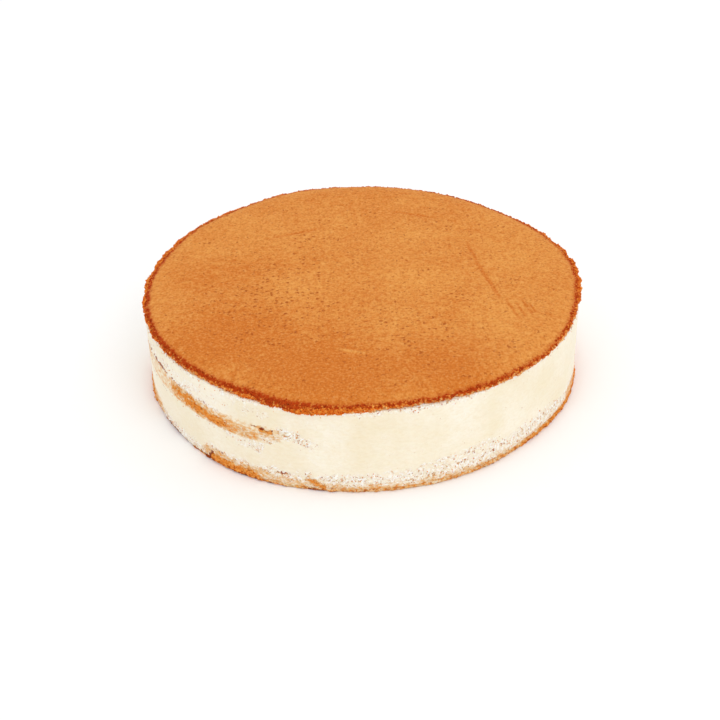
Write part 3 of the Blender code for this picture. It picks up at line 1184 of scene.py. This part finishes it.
@dataclass
class TopSponge(Layer):
    """The top disc: a smooth baked skin that rolls over at the rim into torn crumb."""

    cells: int = 280
    rim_rows: int = 18
    skin_edge: float = 126.5
    skin_dome: float = 0.2
    roll_from: float = 108.0
    roll_depth: float = 1.9
    torn_from: float = 125.9
    torn_softness: float = 2.0
    hem_from: float = 4.6
    hem_fade: float = 1.7
    underside: float = 6.6
    skin_waves: Ripple = Ripple(0.45, 34.0, 5.0)
    crags: Ripple = Ripple(1.2, CakeForm.crumb_size, 3.0)
    fine_crags: Ripple = Ripple(0.75, 2.1, 4.0)
    tatters: Ripple = Ripple(0.8, 2.4, 15.0)
    edge_waves: Ripple = Ripple(0.8, 9.0, 61.0)
    edge_crumbs: Ripple = Ripple(0.9, 2.2, 62.0)
    pore_clusters: Ripple = Ripple(0.35, 14.0, 71.0, 0.0)
    craggy_bulges: tuple[Bulge, ...] = (
        Bulge(146, 0.9, 22),
        Bulge(10, 0.5, 16),
    )
    brink: float = -0.6
    brink_bulges: tuple[Bulge, ...] = (
        Bulge(322, 2.4, 26),
        Bulge(284, 2.0, 16),
        Bulge(216, 1.2, 22),
        Bulge(150, -1.6, 34),
        Bulge(18, -0.6, 26),
        Bulge(80, 1.2, 26),
    )
    browned_before: float = 4.0
    browned_softness: float = 5.0
    burnt_reach: float = 0.7
    burnt_softness: float = 3.0
    burnt_bulges: tuple[Bulge, ...] = (
        Bulge(249, 2.8, 8),
        Bulge(228, 0.8, 16),
        Bulge(200, 0.8, 20),
        Bulge(70, 1.6, 12),
    )
    unburnt_bulges: tuple[Bulge, ...] = (
        Bulge(275, 0.2, 12),
        Bulge(318, 0.25, 18),
        Bulge(100, 0.4, 60),
        Bulge(10, 0.2, 20),
    )
    creamed: float = 0.7
    creamed_from: float = 2.2
    creamed_softness: float = 2.4
    clean_bulges: tuple[Bulge, ...] = (
        Bulge(253, 0.6, 12),
        Bulge(190, 0.4, 12),
        Bulge(60, 0.5, 20),
    )
    hanging_bulges: tuple[Bulge, ...] = (
        Bulge(254, 1.3, 14),
        Bulge(170, 0.8, 12),
        Bulge(64, 1.0, 10),
    )
    shed_on_skin: float = 0.3
    shed_on_edge: float = 0.7
    shed_below: float = 1.2
    shed_below_from: float = 4.0
    shed_below_fade: float = 1.5
    tucked_from: float = 6.8
    fewest_pores: float = 0.2
    most_pores: float = 0.5
    # How much the creases are darkened, as painted shade
    crease_shade: float = 1.7
    rim: tuple[tuple[float, float], ...] = ((128.6, -3.3), (129.0, -4.6), (127.8, -6.35), (124.5, -6.6))
    creases: tuple[Crease, ...] = (
        Crease((67.0, 41.0), (72.0, 8.0), 0.8, 0.24),
        Crease((71.0, 14.0), (81.0, -29.0), 0.9, 0.36),
        Crease((92.0, -26.0), (97.0, -47.0), 0.6, 0.36),
        Crease((88.5, -30.0), (93.0, -50.0), 0.6, 0.34),
        Crease((85.0, -34.0), (89.0, -51.0), 0.6, 0.34),
        Crease((83.0, -26.0), (86.0, -40.0), 0.6, 0.3),
        Crease((96.0, -33.0), (100.0, -46.0), 0.6, 0.28),
        Crease((-15.0, -76.0), (2.0, -81.5), 1.2, -0.3),
        Crease((-62.0, 52.0), (-20.0, 66.0), 1.5, 0.2),
        Crease((18.0, 88.0), (52.0, 74.0), 1.3, 0.2),
    )
    porous_places: tuple[Blot, ...] = (
        Blot((-41.0, -34.0), 34.0, 0.34),
        Blot((-72.0, -20.0), 24.0, 0.26),
        Blot((-39.0, 14.0), 26.0, 0.26),
        Blot((43.0, -55.0), 12.0, 0.35),
        Blot((20.0, -60.0), 40.0, 0.14),
    )
    # Soft darker places, strongest at the front of the top, are painted shade
    shaded_places: tuple[Blot, ...] = (
        Blot((-18.0, -100.0), 42.0, 0.42),
        Blot((-78.0, -66.0), 34.0, 0.42),
        Blot((50.0, -96.0), 34.0, 0.25),
        Blot((-84.0, 6.0), 40.0, 0.2),
        Blot((0.0, 96.0), 50.0, 0.15),
    )

    def disc_grid(self) -> tuple[np.ndarray, np.ndarray, np.ndarray, list[list[int]]]:
        """A square grid bent evenly into a disc.

        Returns:
            Each point's share of the radius and its angle, the numbers of the rim's points, and the faces.
        """
        side = self.cells + 1
        line = np.linspace(-1.0, 1.0, side)
        across, up = np.meshgrid(line, line)
        wide = np.abs(across) >= np.abs(up)
        share = np.where(wide, across, up)
        safe = np.where(share == 0.0, 1.0, share)
        angle = np.where(wide, 45.0 * up / safe, 90.0 - 45.0 * across / safe)
        angle = np.where(share < 0.0, angle + 180.0, angle)
        numbers = np.arange(side * side).reshape(side, side)
        rim = np.concatenate([numbers[:-1, -1], numbers[-1, :0:-1], numbers[:0:-1, 0], numbers[0, :-1]])
        corners = [numbers[:-1, :-1], numbers[:-1, 1:], numbers[1:, 1:], numbers[1:, :-1]]
        faces = np.stack([c.ravel() for c in corners], axis=1).tolist()
        return np.abs(share).ravel(), angle.ravel(), rim, faces

    def place(self, radius: np.ndarray | float, angle: np.ndarray, drop: np.ndarray | float) -> np.ndarray:
        """Points of the disc.

        Args:
            radius: One radius on the plain disc, or one for each angle.
            angle: The angles.
            drop: One drop below the middle of the top, or one for each angle.

        Returns:
            The points, one a row.
        """
        radius, drop = (np.broadcast_to(given, angle.shape) for given in (radius, drop))
        form = self.form
        share = smooth_step((radius - form.flat_radius) / (form.radius - form.flat_radius))
        torn = smooth_step((radius - self.torn_from) / (form.radius - self.torn_from))
        height = form.height - drop
        side = form.side(angle, height)
        crags = self.crags.at(side) * (1.0 + form.outline(angle, self.craggy_bulges))
        crags = crags + self.fine_crags.at(side)
        out = share * form.outline(angle, form.top_bulges) + torn * crags
        low = smooth_step((drop - self.hem_from) / self.hem_fade)
        skin = self.skin_waves.at(polar(radius, angle, 0.0))
        hem = form.join_wave(angle, form.rim_seed) + self.tatters.at(form.side(angle))
        hem = hem - form.outline(angle, self.hanging_bulges)
        return polar(radius + out, angle, height + (1.0 - low) * skin + low * share * hem)

    def paints(
        self, points: np.ndarray, beyond: np.ndarray, angle: np.ndarray, pressed: np.ndarray | float
    ) -> dict[str, np.ndarray]:
        """The paints that the finish of the top reads.

        Args:
            points: The points, one a row.
            beyond: How far along the profile each lies beyond the flat grid's edge, below 0 inside it.
            angle: The angle of each.
            pressed: How far the creases lower each.

        Returns:
            For each paint's name, its value at each point.
        """
        outline = partial(self.form.outline, angle)
        ragged = self.edge_waves.at(self.form.side(angle)) + self.edge_crumbs.at(points)
        past = beyond + ragged - self.brink - outline(self.brink_bulges)
        reach = self.burnt_reach + outline(self.burnt_bulges)
        burnt = 1.0 - smooth_step((past - reach) / self.burnt_softness)
        creamed = smooth_step((beyond + ragged - self.creamed_from) / self.creamed_softness)
        torn = smooth_step(0.5 + past / self.torn_softness)
        below = smooth_step((beyond - self.shed_below_from) / self.shed_below_fade)
        shed = self.shed_on_skin + self.shed_on_edge * smooth_step(beyond) + self.shed_below * below
        porous = self.fewest_pores + self.pore_clusters.at(points) + self.blots(self.porous_places, points)
        return {
            "torn": torn,
            "edge": smooth_step((past + self.browned_before) / self.browned_softness),
            "baked": (1.0 - outline(self.unburnt_bulges)) * burnt,
            "creamed": (self.creamed - outline(self.clean_bulges)) * creamed,
            "porous": np.clip(porous, 0.0, self.most_pores),
            # deep is painted shade, in the creases and at the shaded places
            "deep": self.crease_shade * pressed + self.blots(self.shaded_places, points),
            "shed": torn * shed * (beyond < self.tucked_from),
        }

    def blots(self, blots: tuple[Blot, ...], points: np.ndarray) -> np.ndarray:
        """The sum of soft round places at each point."""
        return np.sum([blot.share(points) for blot in blots], axis=0)

    def build(self) -> bpy.types.Object:
        """Builds the disc's mesh.

        Returns:
            The disc, at the origin.
        """
        draft = Draft("torn", "edge", "porous", "deep", "baked", "creamed", "shed")
        share, angle, rim, faces = self.disc_grid()
        radius = share * self.skin_edge
        rolled = np.clip((radius - self.roll_from) / (self.skin_edge - self.roll_from), 0.0, None)
        drop = self.skin_dome * (radius / self.form.radius) ** 2 + self.roll_depth * rolled**3
        points = self.place(radius, angle, drop)
        pressed = np.sum([crease.sink(points) for crease in self.creases], axis=0)
        points[:, 2] -= pressed
        draft.add(points, **self.paints(points, radius - self.skin_edge, angle, pressed))
        draft.faces.extend(faces)

        rings = [rim]
        around = angle[rim]
        start = (self.skin_edge, -(self.skin_dome + self.roll_depth))
        profile = smooth_path([start, *self.rim], self.rim_rows)
        length = np.cumsum(np.linalg.norm(np.diff(profile, axis=0), axis=1))
        for (r, z), beyond in zip(profile[1:], length):
            points = self.place(r, around, -z)
            paints = self.paints(points, np.full_like(around, beyond), around, 0.0)
            rings.append(draft.add(points, **paints))
        draft.join(rings)
        draft.close(rings[-1], self.form.height - self.underside, upwards=False)
        return draft.make(self.name)


@dataclass
class SideSponge(Layer):
    """A lower disc of sponge: torn crumb at its rim, proud where the coat is bare."""

    low: float
    high: float
    low_seed: float | None
    high_seed: float
    crumb_seed: float
    # How much the foot darkens: partly the bottom's browning, partly painted contact shade
    browned: float
    browned_fade: float = 6.0
    columns: int = 1200
    rows: int = 18
    rounding: float = 0.9
    crag_height: float = 0.35
    shed_from: float = 1.0

    def surface(self, ring: Ring, depth: np.ndarray) -> np.ndarray:
        """Radius of the sponge's rim under, or out of, its coat.

        Args:
            ring: The points of the rim.
            depth: How deep the cream lies over each of them.

        Returns:
            The radius at each point.
        """
        crags = Ripple(self.crag_height, self.form.crumb_size, self.crumb_seed)
        bulge = self.form.outline(ring.angle, self.form.side_bulges)
        return self.form.wall_radius + bulge - depth + crags.at(self.form.side(ring.angle, ring.height))

    def build(self) -> bpy.types.Object:
        """Builds the disc's mesh.

        Returns:
            The disc, at the origin.
        """
        draft = Draft("torn", "baked", "show", "specks", "crack", "shed")
        angle = np.arange(self.columns) * 360.0 / self.columns
        upper_wave = self.form.join_wave(angle, self.high_seed)
        lower_wave = 0.0 if self.low_seed is None else self.form.join_wave(angle, self.low_seed)
        rings = []
        for row in range(self.rows + 1):
            down = row / self.rows
            height = self.high + upper_wave + down * (self.low - self.high + lower_wave - upper_wave)
            ring = Ring(angle, height)
            depth = self.coat.depth(ring)
            ends = min(down, 1.0 - down) * (self.high - self.low)
            inward = self.rounding * (1.0 - smooth_step(ends / self.rounding))
            paints = {
                **self.coat.paints(ring),
                "torn": 0.0 if row in (0, self.rows) else 1.0,
                # The baked paint darkens the bottom sponge towards its foot: partly its browning, partly
                # painted contact shade
                "baked": self.browned * (1.0 - smooth_step((height - self.low) / self.browned_fade)),
                "shed": (depth < 0.0) * (height > self.shed_from),
            }
            rings.append(draft.add(polar(self.surface(ring, depth) - inward, angle, height), **paints))
        draft.close(rings[0], self.high, upwards=True)
        draft.join(rings)
        draft.close(rings[-1], self.low, upwards=False)
        return draft.make(self.name)


@dataclass
class Cream(Layer):
    """The cream: two layers and the coat that joins them over the sponges' sides, in one piece."""

    bottom: SideSponge
    middle: SideSponge
    columns: int = 1120
    rows: int = 76
    foot: float = 0.7
    dip: float = 1.5
    membrane: float = 0.4
    shoulder: float = 0.8
    lap: float = 0.3
    past_join_1: float = 0.8
    before_join_2: float = 0.6
    past_join_3: float = 0.9
    join_fade: float = 1.2
    top_tuck: float = 0.5
    foot_tuck: float = 1.2
    shed_from: float = 2.0
    shed_least_depth: float = -0.2
    shed_by_specks: float = 0.6
    shed_by_show: float = 0.3
    inner_levels: tuple[float, float] = (2.5, 6.0)
    room_rows: int = 4
    clearance: float = 0.8
    gap: float = 0.2

    def behind(self, height: np.ndarray) -> np.ndarray:
        """Where a sponge lies behind the wall.

        Args:
            height: The height of each point.

        Returns:
            1 over a sponge, 0 where the wall is the side of a layer of cream.
        """
        over_bottom = smooth_step((self.form.join_1 + self.past_join_1 - height) / self.join_fade)
        above_join = smooth_step((height - self.form.join_2 + self.before_join_2) / self.join_fade)
        below_join = smooth_step((self.form.join_3 + self.past_join_3 - height) / self.join_fade)
        return np.maximum(over_bottom, above_join * below_join)

    def surface(self, ring: Ring, depth: np.ndarray) -> np.ndarray:
        """Radius of the wall, which sinks under the crumb where the coat is bare."""
        bare = np.clip(depth / self.coat.bare, 0.0, 1.0)
        return self.form.wall(ring) - self.dip * bare * self.behind(ring.height)

    def wall(self, draft: Draft, angle: np.ndarray) -> list[np.ndarray]:
        """Adds the rings of the visible wall, from the top join down to the foot.

        Args:
            draft: The mesh in the making.
            angle: The angles of the wall's columns.

        Returns:
            The numbers of each ring's points.
        """
        top = self.form.join_4 + self.lap + self.form.join_wave(angle, self.form.rim_seed)
        rings = []
        for row in range(self.rows + 1):
            ring = Ring(angle, top + (self.foot - top) * row / self.rows)
            near_top = 1.0 - smooth_step((top - ring.height) / self.shoulder)
            near_foot = 1.0 - smooth_step((ring.height - self.foot) / self.shoulder)
            depth = self.coat.depth(ring)
            radius = self.surface(ring, depth) - self.top_tuck * near_top - self.foot_tuck * near_foot
            paints = self.coat.paints(ring)
            paints["show"] = paints["show"] * self.behind(ring.height)
            shed = self.shed_by_specks * paints["specks"] + self.shed_by_show * paints["show"]
            held = (depth > self.shed_least_depth) * (ring.height > self.shed_from)
            paints["shed"] = np.clip(shed, 0.0, 1.0) * held
            rings.append(draft.add(polar(radius, angle, ring.height), wall=1.0 - near_foot, **paints))
        return rings

    def under_coat(self, sponge: SideSponge, angle: np.ndarray, height: float) -> np.ndarray:
        """A ring of the coat's hidden inner face, which keeps behind the sponge's rim and the wall.

        Args:
            sponge: The sponge that the coat lies over.
            angle: The angles of the ring's points.
            height: The ring's height.

        Returns:
            The points, one a row.
        """
        ring = Ring(angle, np.full_like(angle, height))
        depth = self.coat.depth(ring)
        radius = np.minimum(sponge.surface(ring, depth), self.surface(ring, depth))
        return polar(radius - self.membrane - sponge.rounding, angle, ring.height)

    def build(self) -> bpy.types.Object:
        """Builds the mesh: the wall, the hidden inner face of its foot, and the middle sponge's room.

        Returns:
            The cream, at the origin.
        """
        form = self.form
        draft = Draft("show", "specks", "crack", "shed", "wall")
        angle = np.arange(self.columns) * 360.0 / self.columns
        wall = self.wall(draft, angle)
        draft.join(wall)
        draft.close(wall[0], form.join_4, upwards=True)
        levels = (*self.inner_levels, form.join_1 - self.clearance)
        inner = [draft.add(self.under_coat(self.bottom, angle, level)) for level in levels]
        draft.join([wall[-1], *inner])
        draft.close(inner[-1], form.join_1 - self.gap, upwards=False)

        levels = np.linspace(form.join_2 + self.clearance, form.join_3 - self.clearance, self.room_rows)
        room = [draft.add(self.under_coat(self.middle, angle, level)) for level in levels]
        draft.close(room[0], form.join_2 + self.gap, upwards=True)
        draft.join(room)
        draft.close(room[-1], form.join_3 - self.gap, upwards=False)
        return draft.make(self.name)


@dataclass
class LooseCrumbs(Layer):
    """Loose crumbs that cling to a layer: how many on a square centimetre, and their half widths."""

    density: float
    widths: CrumbWidths
    seed: int

    def build(
        self, ground: bpy.types.Object, scatter: CrumbScatter, material: bpy.types.Material
    ) -> bpy.types.Object:
        """Strews the crumbs over a layer.

        Args:
            ground: The layer that they cling to.
            scatter: The tree that strews them.
            material: Their material.

        Returns:
            The piece of crumbs.
        """
        crumbs = bpy.data.objects.new(self.name, ground.data.copy())
        bpy.context.scene.collection.objects.link(crumbs)
        scatter.run(crumbs, material, self.widths, Density=self.density / CM**2, Seed=self.seed)
        crumbs.data.shade_smooth()
        return crumbs


@dataclass(frozen=True)
class Viewpoint:
    """The photograph's point of view, fitted to the cake's outline and foot."""

    lens: float = 64.7
    distance: float = 803.6
    aim: tuple[float, float, float] = (-1.65, 0.0, 0.45)
    pitch: float = 33.62
    roll: float = 1.70

    def set_up(self) -> None:
        """Makes the camera and makes it the scene's."""
        pitch, roll = math.radians(self.pitch), math.radians(self.roll)
        forward = Vector((0.0, math.cos(pitch), -math.sin(pitch)))
        right = Vector((1.0, 0.0, 0.0))
        up = right.cross(forward)
        across = right * math.cos(roll) - up * math.sin(roll)
        upright = right * math.sin(roll) + up * math.cos(roll)
        data = bpy.data.cameras.new("camera")
        data.lens = self.lens
        camera = bpy.data.objects.new("camera", data)
        bpy.context.scene.collection.objects.link(camera)
        turn = Matrix((across, upright, -forward)).transposed().to_4x4()
        eye = Vector(self.aim) - forward * self.distance
        camera.matrix_world = Matrix.Translation(eye * MM) @ turn
        bpy.context.scene.camera = camera


@dataclass(frozen=True)
class Studio:
    """A white paper floor under a bright even sky, with one large soft light high at the front right."""

    floor_colour: str = "#ffffff"
    floor_half_width: float = 8.0
    sky_strength: float = 0.98
    key_power: float = 13.0
    key_size: float = 2.0
    key_place: tuple[float, float, float] = (1.3, -1.7, 2.6)

    def floor(self) -> None:
        """Lays the floor."""
        bpy.ops.mesh.primitive_plane_add(size=2 * self.floor_half_width)
        ground = bpy.context.object
        ground.name = "floor"
        values = {"Base Color": linear(self.floor_colour), "Roughness": 0.9, "Specular IOR Level": 0.1}
        ground.data.materials.append(MaterialTree("matt white paper", values).material)

    def light(self) -> None:
        """Sets the sky and the key light."""
        world = bpy.data.worlds.new("studio sky")
        world.use_nodes = True
        sky = world.node_tree.nodes["Background"]
        sky.inputs["Color"].default_value = (1.0, 1.0, 1.0, 1.0)
        sky.inputs["Strength"].default_value = self.sky_strength
        bpy.context.scene.world = world
        data = bpy.data.lights.new("key light", "AREA")
        data.shape = "DISK"
        data.size = self.key_size
        data.energy = self.key_power
        key = bpy.data.objects.new("key light", data)
        key.location = self.key_place
        key.rotation_euler = (-Vector(self.key_place)).to_track_quat("-Z", "Y").to_euler()
        bpy.context.scene.collection.objects.link(key)

    def set_up(self) -> None:
        """Makes the studio, with colours shown as they are."""
        self.floor()
        self.light()
        bpy.context.scene.view_settings.view_transform = "Standard"


class NakedCake:
    """The whole cake: its layers, their finishes and the loose crumbs."""

    def __init__(self) -> None:
        """Sets out the layers from the bottom up."""
        form = CakeForm()
        coat = Coat(form)
        crumb, skin = "sponge_crumb", "sponge_skin"
        sponge = partial(SideSponge, form, coat)
        self.bottom = sponge(
            "bottom_sponge", crumb, ("sponge_bottom",), form.foot, form.join_1, None, 11.0, 1.0, 0.6
        )
        self.middle = sponge(
            "middle_sponge", crumb, ("sponge_middle",), form.join_2, form.join_3, 12.0, 13.0, 2.0, 0.0
        )
        self.top = TopSponge(form, coat, "baked_top_sponge", skin, ("sponge_top",))
        nodes = ("cream_lower", "cream_upper")
        self.cream = Cream(form, coat, "scraped_cream", "cream", nodes, self.bottom, self.middle)
        loose = partial(LooseCrumbs, form, coat)
        self.window_crumbs = loose("window_crumbs", crumb, (), 30.0, CrumbWidths(), 3)
        self.foot_crumbs = loose("foot_crumbs", crumb, (), 30.0, CrumbWidths(), 5)
        self.coat_crumbs = loose("coat_crumbs", crumb, (), 14.0, CrumbWidths(0.14, 0.42), 7)
        self.rim_crumbs = loose("rim_crumbs", skin, (), 80.0, CrumbWidths(0.2, 0.75), 9)

    def build(self) -> None:
        """Builds and dresses every piece."""
        golden = TornCrumb(CrumbTone.SIDE)
        scraped = ScrapedCream(golden)
        loose_crumb = golden.build("loose golden crumbs", None)
        crumb = golden.build("torn golden sponge", scraped)
        rim_crumb = TornCrumb(CrumbTone.RIM).build("torn baked sponge", None)
        relief = CrumbRelief()
        scatter = CrumbScatter()

        bottom = self.bottom.build()
        relief.run(bottom, crumb, SpongeRelief(), Seed=0.31)
        middle = self.middle.build()
        relief.run(middle, crumb, SpongeRelief(), Seed=0.57)
        top = self.top.build()
        skin = BakedSkin().build("oven-baked sponge skin")
        relief.run(top, skin, SpongeRelief(1.4, 0.4, 1.3, 0.45), Seed=0.83)
        cream = self.cream.build()
        KnifeMarks().run(cream, scraped.build("scraped vanilla cream"), KnifeRelief())

        for crumbs, ground, material in (
            (self.foot_crumbs, bottom, loose_crumb),
            (self.window_crumbs, middle, loose_crumb),
            (self.coat_crumbs, cream, loose_crumb),
            (self.rim_crumbs, top, rim_crumb),
        ):
            crumbs.dress(crumbs.build(ground, scatter, material))
        layers = (self.bottom, self.middle, self.cream, self.top)
        for layer, piece in zip(layers, (bottom, middle, cream, top)):
            layer.dress(piece)


def main() -> None:
    """Loads the frame, builds the studio and the cake, and notes both boxes."""
    logging.basicConfig(level=logging.INFO, format="%(name)s %(message)s")
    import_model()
    Viewpoint().set_up()
    Studio().set_up()
    NakedCake().build()


if __name__ == "__main__":
    main()
